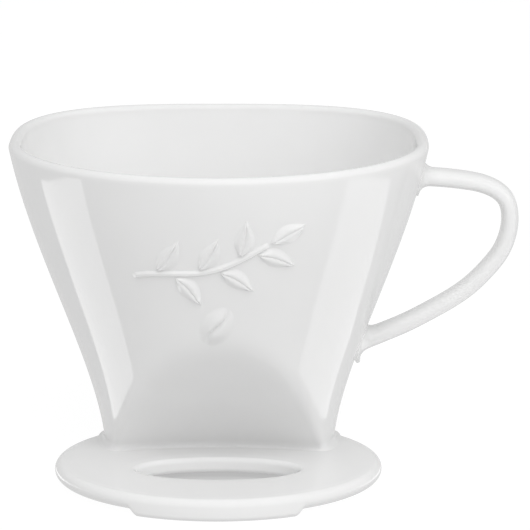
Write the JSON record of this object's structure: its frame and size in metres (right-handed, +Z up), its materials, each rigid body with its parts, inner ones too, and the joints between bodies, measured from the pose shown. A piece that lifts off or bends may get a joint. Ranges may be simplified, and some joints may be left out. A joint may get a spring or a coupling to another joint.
{
  "type": "pour over dripper",
  "caption": "White glazed porcelain pour over coffee dripper: wide funnel with a rounded rim, loop handle, and a round base plate with an oval view window.",
  "frame": {"origin": "the funnel's vertical axis where it meets the underside of the base plate, which is the face that sits on a carafe or cup", "axes": "+X towards the handle, +Y towards the rear (the window is at the front, -Y), +Z up"},
  "size_m": [0.1567, 0.1406, 0.1009],
  "materials": {
    "body_glaze": "clear gloss glaze over white porcelain",
    "relief_glaze": "the same glaze, pooled a little at the foot of the raised sprig"
  },
  "bodies": {
    "root": {"funnel": "body_glaze", "base_plate": "body_glaze", "front_foot": "body_glaze", "rear_foot": "body_glaze", "handle": "body_glaze", "sprig_stem": "relief_glaze", "sprig_leaf_1": "relief_glaze", "sprig_leaf_2": "relief_glaze", "sprig_leaf_3": "relief_glaze", "sprig_leaf_4": "relief_glaze", "sprig_leaf_5": "relief_glaze", "sprig_leaf_6": "relief_glaze", "sprig_leaf_7": "relief_glaze", "bean_upper_half": "relief_glaze", "bean_lower_half": "relief_glaze"}
  },
  "joints": []
}
